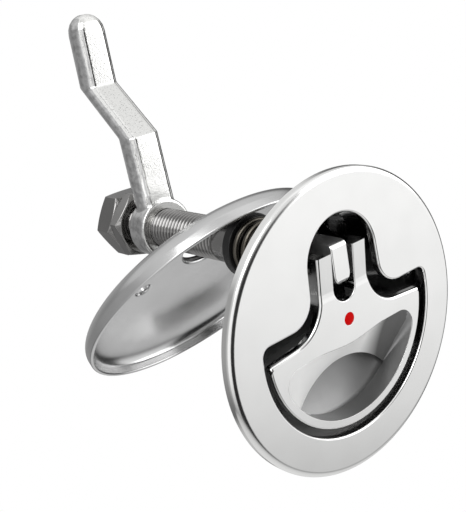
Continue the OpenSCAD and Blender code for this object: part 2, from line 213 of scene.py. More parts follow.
def metal(name, colour, roughness, tone, grain_mm, grain_bump, stretch=(1, 1, 1), spread=0.05, cloud_mm=9,
          cloud_edge=(0.35, 0.65)):
    """A steel whose tone and roughness wander a little, with a fine grain left by its last tool."""
    material, tree, shader = new_material(name)
    if tree is None:
        return material
    place = add(tree, "ShaderNodeTexCoord").outputs["Object"]
    # Slow change of tone as buffing leaves it, or the fine specks of a casting's skin
    cloud = add(tree, "ShaderNodeTexNoise", Vector=place, Scale=1 / (cloud_mm * MM), Detail=2.0)
    light = linear(colour)
    ramp = add(tree, "ShaderNodeValToRGB", Fac=cloud.outputs["Fac"])
    ramp.color_ramp.elements[0].color = [c * (1 - tone) for c in light[:3]] + [1]
    ramp.color_ramp.elements[1].color = light
    ramp.color_ramp.elements[0].position = cloud_edge[0]
    ramp.color_ramp.elements[1].position = cloud_edge[1]
    tree.links.new(ramp.outputs["Color"], shader.inputs["Base Color"])
    # The grain of the abrasive, stretched along the way the tool went
    lay = add(tree, "ShaderNodeMapping", Vector=place, Scale=stretch)
    grain = add(tree, "ShaderNodeTexNoise", Vector=lay.outputs["Vector"], Scale=1 / (grain_mm * MM),
                Detail=4.0)
    rough = add(tree, "ShaderNodeMapRange", Value=grain.outputs["Fac"], From_Min=0.3, From_Max=0.7,
                To_Min=roughness * (1 - spread), To_Max=roughness * (1 + spread))
    tree.links.new(rough.outputs["Result"], shader.inputs["Roughness"])
    bump = add(tree, "ShaderNodeBump", Height=grain.outputs["Fac"], Distance=grain_bump * MM, Strength=1.0)
    tree.links.new(bump.outputs["Normal"], shader.inputs["Normal"])
    shader.inputs["Metallic"].default_value = 1.0
    return material


def polished_steel():
    # Cast stainless steel, ground and buffed bright: near white, with a barely visible grain
    finish = bpy.context.scene.lock_finish
    return metal("buffed stainless casting", finish.polished, 0.13, 0.03, 0.35, 0.004, (1, 1, 0.3))


def machined_steel():
    # Turned stainless steel: greyer, with fine rings round the spindle's axis
    finish = bpy.context.scene.lock_finish
    return metal("turned stainless steel", finish.machined, 0.14, 0.1, 0.25, 0.01, (0.25, 1, 0.25), 0.15)


def thread_with_painted_root_shade():
    # The same turned steel, with painted shade in the roots of the thread, which show as dark lines
    finish = bpy.context.scene.lock_finish
    material = bpy.data.materials.get("thread with painted root shade")
    if material:
        return material
    material = metal("thread with painted root shade", finish.machined, 0.14, 0.1, 0.25, 0.01, (0.25, 1, 0.25), 0.15)
    tree = material.node_tree
    place = add(tree, "ShaderNodeTexCoord").outputs["Object"]
    from_axis = add(tree, "ShaderNodeVectorMath", {"operation": "SUBTRACT"}, i0=place,
                    i1=(0, 0, SPINDLE_Z * MM)).outputs["Vector"]
    across = add(tree, "ShaderNodeVectorMath", {"operation": "MULTIPLY"}, i0=from_axis,
                 i1=(1, 0, 1)).outputs["Vector"]
    radius = add(tree, "ShaderNodeVectorMath", {"operation": "LENGTH"}, i0=across).outputs["Value"]
    # Painted shade: the steel darkens towards the roots of the thread
    unshaded_share = add(tree, "ShaderNodeMapRange", Value=radius, From_Min=ROOT_SHADE_R[0] * MM, From_Max=ROOT_SHADE_R[1] * MM,
                To_Min=0.08, To_Max=1.0)
    darkened(tree, tree.nodes["Principled BSDF"], unshaded_share.outputs["Result"])
    return material


def spring_steel():
    # Drawn wire with its dull, darker skin
    finish = bpy.context.scene.lock_finish
    return metal("drawn spring wire", finish.spring, 0.3, 0.25, 0.3, 0.01, (1, 1, 1), 0.2)


def pressed_steel():
    # Pressed and polished stainless sheet: soft, wide reflections
    finish = bpy.context.scene.lock_finish
    return metal("pressed stainless sheet", finish.sheet, 0.2, 0.05, 0.5, 0.003, (1, 1, 1))


def satin_casting():
    # Investment casting, tumbled but hardly polished: bright, with fine pits and dark specks 0.4 mm wide
    finish = bpy.context.scene.lock_finish
    return metal("tumbled stainless casting", finish.cast, 0.12, 0.5, 0.3, 0.025, (1, 1, 1), 0.4,
                 cloud_mm=0.4, cloud_edge=(0.3, 0.42))


def arm_side_in_painted_shade():
    # The arm's sides keep the grain of the tumbled casting; their darker colour is painted shade
    finish = bpy.context.scene.lock_finish
    return metal("arm side in painted shade", finish.side, 0.14, 0.3, 0.3, 0.02, (1, 1, 1), 0.4,
                 cloud_mm=1.6, cloud_edge=(0.35, 0.6))


def inner_casting_with_painted_shade():
    # The cup's inside is only tumbled, and its near black is partly that skin and partly painted shade; its
    # lower floor, where fingers reach, is brushed to a softer grey, which is painted lighter as painted
    # light
    finish = bpy.context.scene.lock_finish
    material = bpy.data.materials.get("inner casting with painted shade")
    if material:
        return material
    material = metal("inner casting with painted shade", finish.inner, 0.1, 0.1, 0.6, 0.01, (1, 1, 1), 0.2)
    tree = material.node_tree
    shader = tree.nodes["Principled BSDF"]
    place = add(tree, "ShaderNodeTexCoord").outputs["Object"]
    axes = add(tree, "ShaderNodeSeparateXYZ", i0=place)
    deep = add(tree, "ShaderNodeMapRange", Value=axes.outputs["Y"], From_Min=BRUSHED_DEPTH[0] * MM,
               From_Max=BRUSHED_DEPTH[1] * MM).outputs["Result"]
    brushed = add(tree, "ShaderNodeMapRange", Value=axes.outputs["Z"], From_Min=BRUSHED_HEIGHT[0] * MM,
                  From_Max=BRUSHED_HEIGHT[1] * MM, To_Min=0.0, To_Max=deep).outputs["Result"]
    for socket, low, high in (("Roughness", 0.1, 0.34), ("Metallic", 1.0, 0.7)):
        blend = add(tree, "ShaderNodeMapRange", Value=brushed, To_Min=low, To_Max=high)
        tree.links.new(blend.outputs["Result"], shader.inputs[socket])
    # Painted light: the brushed lower floor is lighter than the inside in painted shade
    painted_lift = add(tree, "ShaderNodeMapRange", Value=brushed, To_Min=1.0, To_Max=PAINTED_FLOOR_LIGHT)
    darkened(tree, shader, painted_lift.outputs["Result"])
    return material


def brushed_wall_in_painted_shade():
    # The finger opening's outer wall and the eye's sides are brushed, with wide, soft reflections; their mid
    # grey is painted shade
    finish = bpy.context.scene.lock_finish
    material = metal("brushed wall in painted shade", finish.bowl, 0.34, 0.08, 0.4, 0.006, (1, 1, 1), 0.1)
    material.node_tree.nodes["Principled BSDF"].inputs["Metallic"].default_value = 0.7
    return material


def blasted_scoop_with_painted_shade():
    # The scooped wall of the finger opening is fine blasted: bright, with no sharp reflections. Towards its
    # right end, which lies in the shade of the rim, it is painted darker as painted shade
    finish = bpy.context.scene.lock_finish
    material = bpy.data.materials.get("blasted scoop with painted shade")
    if material:
        return material
    material = metal("blasted scoop with painted shade", finish.polished, 0.5, 0.04, 0.25, 0.006, (1, 1, 1), 0.1)
    tree = material.node_tree
    shader = tree.nodes["Principled BSDF"]
    shader.inputs["Metallic"].default_value = 0.12
    place = add(tree, "ShaderNodeTexCoord").outputs["Object"]
    across = add(tree, "ShaderNodeSeparateXYZ", i0=place).outputs["X"]
    # Painted shade: the scoop darkens towards its right end
    fade = add(tree, "ShaderNodeMapRange", Value=across, From_Min=SCOOP_SHADE_X[0] * MM,
               From_Max=SCOOP_SHADE_X[1] * MM, To_Min=1.0, To_Max=0.12)
    darkened(tree, shader, fade.outputs["Result"])
    return material


def dull(name, colour, roughness, grain_mm, grain_bump):
    """A plastic, rubber or enamel with a fine moulded or fired grain."""
    material, tree, shader = new_material(name)
    if tree is None:
        return material
    place = add(tree, "ShaderNodeTexCoord").outputs["Object"]
    grain = add(tree, "ShaderNodeTexNoise", Vector=place, Scale=1 / (grain_mm * MM), Detail=3.0)
    light = linear(colour)
    ramp = add(tree, "ShaderNodeValToRGB", Fac=grain.outputs["Fac"])
    ramp.color_ramp.elements[0].color = [c * 0.8 for c in light[:3]] + [1]
    ramp.color_ramp.elements[1].color = light
    tree.links.new(ramp.outputs["Color"], shader.inputs["Base Color"])
    bump = add(tree, "ShaderNodeBump", Height=grain.outputs["Fac"], Distance=grain_bump * MM, Strength=1.0)
    tree.links.new(bump.outputs["Normal"], shader.inputs["Normal"])
    shader.inputs["Roughness"].default_value = roughness
    return material


def black_plastic():
    # Moulded acetal: deep black with a soft sheen
    return dull("moulded black acetal", bpy.context.scene.lock_finish.plastic, 0.38, 0.4, 0.01)


def red_enamel():
    # Fired enamel in its pocket: saturated red, with little shine so that the room does not pale it
    material = dull("fired red enamel", bpy.context.scene.lock_finish.enamel, 0.45, 0.5, 0.006)
    material.node_tree.nodes["Principled BSDF"].inputs["Specular IOR Level"].default_value = 0.05
    return material


# Shapes


def mesh_object(name, points, faces):
    """A mesh object from points in millimetres, which stays in millimetres until it is dressed."""
    mesh = bpy.data.meshes.new(name)
    mesh.from_pydata(points, [], faces)
    mesh.validate()
    piece = bpy.data.objects.new(name, mesh)
    bpy.context.scene.collection.objects.link(piece)
    face_outwards(piece)
    return piece


def face_outwards(piece):
    """Joins doubled points and turns a closed piece's faces outwards."""
    work = bmesh.new()
    work.from_mesh(piece.data)
    bmesh.ops.remove_doubles(work, verts=work.verts, dist=1e-4)
    bmesh.ops.recalc_face_normals(work, faces=work.faces)
    if work.calc_volume(signed=True) < 0:
        bmesh.ops.reverse_faces(work, faces=work.faces)
    work.to_mesh(piece.data)
    work.free()


def prism(name, outline, y0, y1):
    """A flat outline of (x, z) points given depth from y0 to y1."""
    return lofted(name, [(x, y, z) for y in (y0, y1) for x, z in outline], len(outline))


def sideways(name, outline, x0, x1):
    """A side outline of (y, z) points given width from x0 to x1."""
    return lofted(name, [(x, y, z) for x in (x0, x1) for y, z in outline], len(outline))


def turned(name, profile, z=SPINDLE_Z, count=ROUND):
    """A closed profile of (radius, y) points turned about the line x = 0 at height z."""
    points, rings, faces = [], [], []
    turns = [(math.cos(2 * math.pi * k / count), math.sin(2 * math.pi * k / count)) for k in range(count)]
    for radius, y in profile:
        if radius < 1e-6:
            rings.append([len(points)] * count)
            points.append((0, y, z))
            continue
        rings.append(list(range(len(points), len(points) + count)))
        points += [(radius * c, y, z + radius * s) for c, s in turns]
    for a, b in zip(rings, rings[1:] + rings[:1]):
        for k in range(count):
            face = [a[k], a[(k + 1) % count], b[(k + 1) % count], b[k]]
            face = [v for i, v in enumerate(face) if v not in face[:i]]
            if len(face) > 2:
                faces.append(face)
    return mesh_object(name, points, faces)


def plug(name, radius, y0, y1, z=SPINDLE_Z, count=ROUND):
    """A plain round bar along Y, to cut a hole with."""
    return turned(name, [(0, y0), (radius, y0), (radius, y1), (0, y1)], z, count)


def lofted(name, points, count):
    """A closed piece through sections of count points each, given one after the other."""
    faces = [list(range(count)), list(range(len(points) - 1, len(points) - count - 1, -1))]
    for a in range(0, len(points) - count, count):
        b = a + count
        faces += [[a + k, a + (k + 1) % count, b + (k + 1) % count, b + k] for k in range(count)]
    return mesh_object(name, points, faces)


def rounded_bar(radius, y0, y1, edge, bore=0.0):
    """The profile of a bar along Y with rounded ends, or of a ring when it has a bore."""
    steps = [math.radians(a) for a in (0, 22.5, 45, 67.5, 90)]
    front = [(radius - edge + edge * math.sin(a), y0 + edge - edge * math.cos(a)) for a in steps]
    back = [(radius - edge + edge * math.cos(a), y1 - edge + edge * math.sin(a)) for a in steps]
    if bore:
        return ([(bore, y0 + edge / 2), (bore + edge / 2, y0)] + front + back
                + [(bore + edge / 2, y1), (bore, y1 - edge / 2)])
    return [(0, y0)] + front + back + [(0, y1)]


def bar_x(name, radius, length, y, edge=0.25, z=SPINDLE_Z, count=64):
    """A round bar along X with rounded ends."""
    piece = turned(name, rounded_bar(radius, -length / 2, length / 2, edge), 0, count)
    move(piece, Matrix.Translation((0, y, z)) @ Matrix.Rotation(math.radians(90), 4, "Z"))
    return piece


def move(piece, matrix):
    """Moves a piece's mesh, while its object stays at the origin."""
    piece.data.transform(matrix)
    piece.data.update()


def plain(piece):
    """Turns a piece's modifiers into plain mesh."""
    graph = bpy.context.evaluated_depsgraph_get()
    mesh = bpy.data.meshes.new_from_object(piece.evaluated_get(graph), depsgraph=graph)
    piece.modifiers.clear()
    old = piece.data
    piece.data = mesh
    bpy.data.meshes.remove(old)
    return piece


def cut(piece, other, operation="DIFFERENCE"):
    """Cuts, joins or crosses two closed pieces; the second one is used up."""
    modifier = piece.modifiers.new("cut", "BOOLEAN")
    modifier.operation = operation
    modifier.solver = "MANIFOLD"
    modifier.object = other
    bpy.context.view_layer.update()
    plain(piece)
    bpy.data.objects.remove(other)


def round_edges(piece, width, chosen=lambda p: True, segments=3, angle=30):
    """Rounds the sharp edges whose two ends lie where chosen says."""
    work = bmesh.new()
    work.from_mesh(piece.data)
    bmesh.ops.remove_doubles(work, verts=work.verts, dist=1e-3)
    edges = [e for e in work.edges if len(e.link_faces) == 2 and e.calc_face_angle() > math.radians(angle)
             and all(chosen(v.co) for v in e.verts)]
    if edges:
        bmesh.ops.bevel(work, geom=edges, offset=width, segments=segments, profile=0.5,
                        affect="EDGES", clamp_overlap=False)
    work.to_mesh(piece.data)
    work.free()


def smooth(piece, angle=32):
    """Smooth shading that keeps flat faces flat and sharp edges sharp."""
    piece.data.polygons.foreach_set("use_smooth", [True] * len(piece.data.polygons))
    piece.data.set_sharp_from_angle(angle=math.radians(angle))
    modifier = piece.modifiers.new("normals", "WEIGHTED_NORMAL")
    modifier.keep_sharp = True
    modifier.weight = 60
    plain(piece)


def dress(piece, body, materials, replaces=(), angle=32, scale=MM):
    """Gives a finished piece its size in metres, shading, materials and body, and hides the CAD nodes it
    stands in for.
    """
    move(piece, Matrix.Scale(scale, 4))
    smooth(piece, angle)
    piece.data.materials.clear()
    for material in materials:
        piece.data.materials.append(material)
    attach(piece, body)
    if replaces:
        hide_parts(*replaces)


def finish_node(name, material):
    """Gives a CAD node that is shown as it is its material."""
    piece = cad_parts[name]
    for slot in piece.material_slots:
        slot.material = material
    if not piece.material_slots:
        piece.data.materials.append(material)


def arc(cx, cz, radius, start, end, count):
    """Points of an arc, by angles in degrees."""
    angles = [math.radians(start + (end - start) * i / count) for i in range(count + 1)]
    return [(cx + radius * math.cos(a), cz + radius * math.sin(a)) for a in angles]


def mirrored(half):
    """A closed outline from its right half, which runs from the top down to the bottom."""
    return half + [(-x, z) for x, z in reversed(half) if abs(x) > 1e-6]


# Housing

CUTOUT_R, EAR_Z, HEAD_R, HEAD_Z = 28.2, 5.1, 11.3, 16.6
NECK_FOOT, SHOULDER_R, EAR_CORNER = 12.4, 7.0, 2.4
FLANGE_R, RIM_WIDE, RIM_ROUND, LIP_BACK = 38.0, 1.7, 1.1, -0.5
CUP_R, CUP_WALL, CUP_STRAIGHT, BOWL_DEPTH = 31.0, 1.8, 2.5, 10.0
WELL_R, WELL_ROUND, BOSS_R, BOSS_ROUND = 12.0, 0.6, 10.0, 0.5
CAVITY_R = CUP_R - CUP_WALL
# How near to a wall's surface a face's centre counts as on it
NEAR = 0.01


def cutout_outline():
    """The bell-shaped cut-out: a round head, a neck, two shoulders and a wide lower arc."""
    lean = math.atan2(NECK_FOOT - HEAD_R, HEAD_Z)
    shoulder_z = EAR_Z + SHOULDER_R
    neck_x = NECK_FOOT - (NECK_FOOT - HEAD_R) * shoulder_z / HEAD_Z
    shoulder_x = neck_x + SHOULDER_R / math.cos(lean)
    corner_z = EAR_Z - EAR_CORNER
    corner_x = math.sqrt((CUTOUT_R - EAR_CORNER) ** 2 - corner_z ** 2)
    corner_end = math.degrees(math.atan2(corner_z, corner_x))
    half = arc(0, HEAD_Z, HEAD_R, 90, 0, 40)
    half += arc(shoulder_x, shoulder_z, SHOULDER_R, 180 + math.degrees(lean), 270, 26)
    half += arc(corner_x, corner_z, EAR_CORNER, 90, corner_end, 12)
    half += arc(0, 0, CUTOUT_R, corner_end, -90, 72)[1:]
    return mirrored(half)


def tumbled(p, wall_start):
    """Whether a point lies inside the cup or its well, or on the cut-out's wall behind its rounded edge,
    where painted shade goes.
    """
    from_middle = math.hypot(p.x, p.z)
    in_bowl = (from_middle < CAVITY_R + NEAR and p.y < BOWL_DEPTH + NEAR
               and (from_middle / CAVITY_R) ** 2 + (max(p.y, 0) / BOWL_DEPTH) ** 2 < 1.01)
    in_well = math.hypot(p.x, p.z - SPINDLE_Z) < WELL_R + NEAR and p.y < WELL_Y + NEAR
    on_wall = wall_start < p.y < LIP_BACK + 0.1 and from_middle < CUTOUT_R + 0.1
    return p.y > LIP_BACK - 0.05 and (in_bowl or in_well) or on_wall


class LOCK_OT_housing(bpy.types.Operator):
    """Makes the flange with its bell-shaped cut-out and the cup behind it"""
    bl_idname = "lock.housing"
    bl_label = "Housing"

    def execute(self, context):
        sizes = context.scene.lock_sizes
        rim = [(FLANGE_R - RIM_WIDE + RIM_WIDE * math.cos(math.radians(a)),
                FRONT_Y + RIM_ROUND - RIM_ROUND * math.sin(math.radians(a))) for a in range(0, 91, 6)]
        bowl = [(math.cos(math.radians(a)), math.sin(math.radians(a))) for a in range(6, 91, 3)]
        outer_depth = BOWL_DEPTH + CUP_WALL - CUP_STRAIGHT
        outside = [(CUP_R * c, CUP_STRAIGHT + outer_depth * s) for c, s in bowl]
        outside[-1] = (0, outside[-1][1])
        flange = [(0, FRONT_Y)] + rim[::-1] + [(FLANGE_R, 0)]
        housing = turned("housing_casting", flange + [(CUP_R, 0), (CUP_R, CUP_STRAIGHT)] + outside, 0)
        well_wall = rounded_bar(WELL_R + CUP_WALL, 0, WELL_Y + CUP_WALL, WELL_ROUND)
        cut(housing, turned("well_wall", well_wall), "UNION")
        cut(housing, turned("boss", rounded_bar(BOSS_R, WELL_Y, BOSS_END, BOSS_ROUND)), "UNION")
        inside = [(CAVITY_R * c, BOWL_DEPTH * s) for c, s in bowl]
        inside[-1] = (0, inside[-1][1])
        cut(housing, turned("bowl", [(0, LIP_BACK), (CAVITY_R, LIP_BACK), (CAVITY_R, 0)] + inside, 0))
        # The cutters end at different depths, so that no two of their faces lie in one plane
        cut(housing, plug("well", WELL_R, LIP_BACK / 2, WELL_Y))
        cut(housing, plug("bore", BORE_R, WELL_Y - 1, BOSS_END + 1))
        cut(housing, prism("cutout", cutout_outline(), FRONT_Y - 1, LIP_BACK / 2))
        round_edges(housing, sizes.cutout_round, segments=5,
                    chosen=lambda p: p.y < FRONT_Y + 0.05 and math.hypot(p.x, p.z) < CUTOUT_R + 1)
        dress(housing, "housing", [polished_steel(), inner_casting_with_painted_shade()], ["housing"])
        # Faces inside the cup and on the cut-out's wall take the inner casting, whose darker colour is
        # partly painted shade
        for face in housing.data.polygons:
            if tumbled(face.center / MM, FRONT_Y + sizes.cutout_round + 0.02):
                face.material_index = 1
        return {"FINISHED"}


# Handle

HANDLE_R, PRONG_W, PRONG_TOP, HOLLOW_R = 26.2, 8.35, 19.3, 10.0
HANDLE_EAR_Z, EAR_FALL, SLOT_W, SLOT_Z = 0.9, 1.2, 7.1, 6.1
FINGER_R, FINGER_TOP, FINGER_RISE, FINGER_CORNER = 24.0, -4.9, 1.1, 4.4
FINGER_BACK, SCOOP_DROP, PLATE_BACK = 3.8, 6.0, 0.0
PRONG_STEP, PRONG_TOP_Y, PRONG_EYE_R = 0.12, -2.6, 3.9
LUG_R, LUG_W, LUG_FRONT, LUG_CORNER = 5.3, 5.3, -1.7, 1.3
DOT_Z, DOT_R, DOT_DEPTH, DOT_CROWN = 1.3, 1.65, 0.5, 0.12
PIN_HOLE_R, LENS_SHARE, SCOOP_STEPS, SCOOP_BEND = 1.8, 0.8, 14, 1.15
# Half the rim's width and the height at which its side meets its lower arc
RIM_SIDE, RIM_END_Z = 22, -14.2
# Rounding of the edges of the finger opening, the slot and the lower arc
OPENING_ROUND, SLOT_ROUND, LOWER_ROUND = 0.12, 0.25, 0.45
# Height and depth of the handle's face, from its lower end up to the prongs' tops
PRONG_SIDE = ((-HANDLE_R - 1, FACE_Y), (SLOT_Z + 1.8, FACE_Y), (SLOT_Z + 2.8, FACE_Y + PRONG_STEP),
              (SLOT_Z + 4.1, FACE_Y + PRONG_STEP), (PRONG_TOP, PRONG_TOP_Y))


def on_face(p):
    """Whether a point lies on the handle's front face."""
    for (z0, y0), (z1, y1) in zip(PRONG_SIDE, PRONG_SIDE[1:]):
        if p.z <= z1 + 0.01:
            return abs(p.y - y0 - (y1 - y0) * (p.z - z0) / (z1 - z0)) < 0.06
    return False


def handle_outline():
    """Two prongs with a slot between them, hollow flanks, two ears and a wide lower arc."""
    slope = math.atan2(EAR_FALL, HANDLE_R / 2)
    hollow_x = PRONG_W + HOLLOW_R
    line_z = HANDLE_EAR_Z - (hollow_x - HANDLE_R / 2) * math.tan(slope)
    hollow_z = line_z + HOLLOW_R / math.cos(slope)
    slot_r = SLOT_W / 2
    half = [(0, SLOT_Z)] + arc(0, SLOT_Z + slot_r, slot_r, -90, 0, 20)[1:]
    half += [(slot_r, PRONG_TOP), (PRONG_W, PRONG_TOP)]
    half += arc(hollow_x, hollow_z, HOLLOW_R, 180, 270 - math.degrees(slope), 28)
    ear_z = HANDLE_EAR_Z - EAR_FALL
    half += [(math.sqrt(HANDLE_R ** 2 - ear_z ** 2) - 0.5, ear_z + 0.05)]
    half += arc(0, 0, HANDLE_R, math.degrees(math.asin(ear_z / HANDLE_R)) - 0.8, -90, 72)
    return mirrored(half)


def lens_loop(count_arc=72, count_top=48, count_corner=12):
    """The finger opening at its back: a lens between the outer wall and the scooped top."""
    radius = FINGER_R * LENS_SHARE
    centre = FINGER_TOP - SCOOP_DROP - radius
    # Where the two circles cross
    z = (FINGER_R ** 2 - radius ** 2 + centre ** 2) / (2 * centre)
    x = math.sqrt(FINGER_R ** 2 - z ** 2)
    left, right = math.degrees(math.atan2(z, -x)) % 360, math.degrees(math.atan2(z, x)) % 360
    low = arc(0, 0, FINGER_R, left, right, count_arc)
    a = math.degrees(math.atan2(z - centre, x))
    top = arc(0, centre, radius, a, 180 - a, count_top)[1:-1]
    # The bean's rounded corners shrink to a few points close together
    corner = [(x + 0.001 * i, z + 0.002 * i) for i in range(1, count_corner + 1)]
    return low + corner + top + [(-x - 0.001 * i, z + 0.002 * i) for i in range(count_corner, 0, -1)]


def bean_loop(count_arc=72, count_top=48, count_corner=12):
    """The finger opening on the face: a bean whose top edge rises to both ends."""
    r = FINGER_CORNER
    corner_z = FINGER_TOP + FINGER_RISE - r
    corner_x = math.sqrt((FINGER_R - r) ** 2 - corner_z ** 2)
    a = math.degrees(math.atan2(corner_z, corner_x))
    low = arc(0, 0, FINGER_R, 180 - a, 360 + a, count_arc)
    corner = arc(corner_x, corner_z, r, a, 90, count_corner + 1)[1:-1]
    top = []
    for i in range(count_top + 1):
        x = corner_x * (1 - 2 * i / count_top)
        bend = min(1.0, abs(x) / 12.5)
        top.append((x, FINGER_TOP + FINGER_RISE * (3 * bend ** 2 - 2 * bend ** 3)))
    return low + corner + top + [(-x, z) for x, z in reversed(corner)]


def opening_solid():
    """The cutter of the finger opening, which scoops from the bean down to the lens."""
    lens = lens_loop()
    # The bean has two points more than the lens; its last two are left out
    count = len(lens)
    bean = bean_loop()[:count]
    stations = [(FACE_Y - 1.5, 0.0), (FACE_Y, 0.0)]
    for i in range(1, SCOOP_STEPS + 1):
        t = i / SCOOP_STEPS
        stations.append((FACE_Y + (FINGER_BACK - FACE_Y) * t, t ** SCOOP_BEND))
    stations.append((FINGER_BACK + 1.5, 1.0))
    points = [(b[0] + (l[0] - b[0]) * t, y, b[1] + (l[1] - b[1]) * t)
              for y, t in stations for b, l in zip(bean, lens)]
    return lofted("opening", points, count)


def rim_outline():
    """The rim behind the finger opening, cut off where the turning handle needs room."""
    half = [(0, -2.7), (6, -2.3), (12, -1.6), (17, -2.0), (17, -3), (RIM_SIDE, -3)]
    half += arc(0, 0, HANDLE_R - 0.02, math.degrees(math.atan2(RIM_END_Z, RIM_SIDE)), -90, 60)
    return mirrored(half)


class LOCK_OT_handle(bpy.types.Operator):
    """Makes the folding pull handle with its finger opening, and the red dot in it"""
    bl_idname = "lock.handle"
    bl_label = "Handle"

    def execute(self, context):
        sizes = context.scene.lock_sizes
        side = [(y, z) for z, y in PRONG_SIDE] + [(PIN_Y, PRONG_TOP)]
        side += [(PIN_Y + PRONG_EYE_R * 0.7, SPINDLE_Z - PRONG_EYE_R * 0.7), (PLATE_BACK, SLOT_Z),
                 (PLATE_BACK, -HANDLE_R - 1)]
        handle = sideways("pull_handle", side, -FLANGE_R, FLANGE_R)
        cut(handle, bar_x("eyes", PRONG_EYE_R, 2 * PRONG_W + 4, PIN_Y, 0.1, count=96), "UNION")
        cut(handle, prism("shape", handle_outline(), FRONT_Y - 3, PIN_Y + 9), "INTERSECT")
        cut(handle, prism("rim", rim_outline(), PLATE_BACK - 0.4, FINGER_BACK), "UNION")
        cut(handle, opening_solid())
        cut(handle, bar_x("pin_hole", PIN_HOLE_R, 24, PIN_Y, 0.1))
        cut(handle, plug("pocket", DOT_R, FACE_Y - 1, FACE_Y + DOT_DEPTH, DOT_Z, 64))
        in_slot = SLOT_W / 2
        round_edges(handle, OPENING_ROUND, segments=2, angle=40,
                    chosen=lambda p: on_face(p) and p.z < 0 and math.hypot(p.x, p.z) < FINGER_R + 0.1)
        round_edges(handle, SLOT_ROUND, segments=3, angle=40,
                    chosen=lambda p: on_face(p) and abs(p.x) < in_slot + 0.05 and p.z > SLOT_Z - 0.1)
        round_edges(handle, sizes.handle_round, segments=5, angle=40,
                    chosen=lambda p: on_face(p) and p.z > -1.5 and abs(p.x) > in_slot + 0.3)
        round_edges(handle, LOWER_ROUND, segments=4, angle=40,
                    chosen=lambda p: on_face(p) and p.z < -1 and math.hypot(p.x, p.z) > HANDLE_R - 0.5)
        finishes = [polished_steel(), blasted_scoop_with_painted_shade(), brushed_wall_in_painted_shade()]
        dress(handle, "handle", finishes, ["handle"])
        # In the finger opening the scoop takes the blasted finish, and its outer wall and the walls that
        # face -X take the mid grey of painted shade
        for face in handle.data.polygons:
            p = face.center / MM
            radius = math.hypot(p.x, p.z)
            behind_edge = FACE_Y + OPENING_ROUND + NEAR < p.y < FINGER_BACK + NEAR
            if behind_edge and radius < FINGER_R + 0.02 and p.z < -2:
                wall = face.normal.x < -0.4 or radius > FINGER_R - 0.3
                face.material_index = 2 if wall else 1
        crown = [(DOT_R * 0.95 * math.sin(math.radians(a)), FACE_Y - DOT_CROWN * math.cos(math.radians(a)))
                 for a in range(15, 91, 15)]
        bead = [(0, FACE_Y - DOT_CROWN)] + crown + [(DOT_R, FACE_Y + 0.05), (DOT_R, FACE_Y + DOT_DEPTH),
                                                    (0, FACE_Y + DOT_DEPTH)]
        dot = turned("enamel_dot", bead, DOT_Z, 64)
        dress(dot, "handle", [red_enamel()], ["red_dot"])
        return {"FINISHED"}


# Spindle

HEAD_FRONT_Y, HEAD_DISC_R, HEAD_ROUND, LUG_ROUND = 9.4, 9.6, 0.3, 0.35
SHANK_END, SHANK_END_R, THREAD_START, VEE_SLOPE, CREST_SHARE = 41.2, 5.4, 40.4, 2.35, 0.15
PIN_R, PIN_LENGTH, PIN_ROUND, PIN_FIT = 1.75, 21, 0.35, 0.01
RETAINER_R, RETAINER_LENGTH, RETAINER_ROUND, RETAINER_FIT = 1.5, 15, 0.3, 0.02


def new_tree(name, sizes):
    """A geometry tree with its output, its inputs for sizes and one for the material."""
    tree = bpy.data.node_groups.new(name, "GeometryNodeTree")
    tree.interface.new_socket("Geometry", in_out="OUTPUT", socket_type="NodeSocketGeometry")
    for size, value in sizes.items():
        socket = tree.interface.new_socket(size, in_out="INPUT", socket_type="NodeSocketFloat")
        socket.default_value = value
    tree.interface.new_socket("Material", in_out="INPUT", socket_type="NodeSocketMaterial")
    return tree


def finish_tree(tree, shape, material):
    """Ends a tree: its instances made real, its material set."""
    real = add(tree, "GeometryNodeRealizeInstances", Geometry=shape)
    shown = add(tree, "GeometryNodeSetMaterial", Geometry=real.outputs[0], Material=material)
    tree.links.new(shown.outputs[0], add(tree, "NodeGroupOutput").inputs[0])


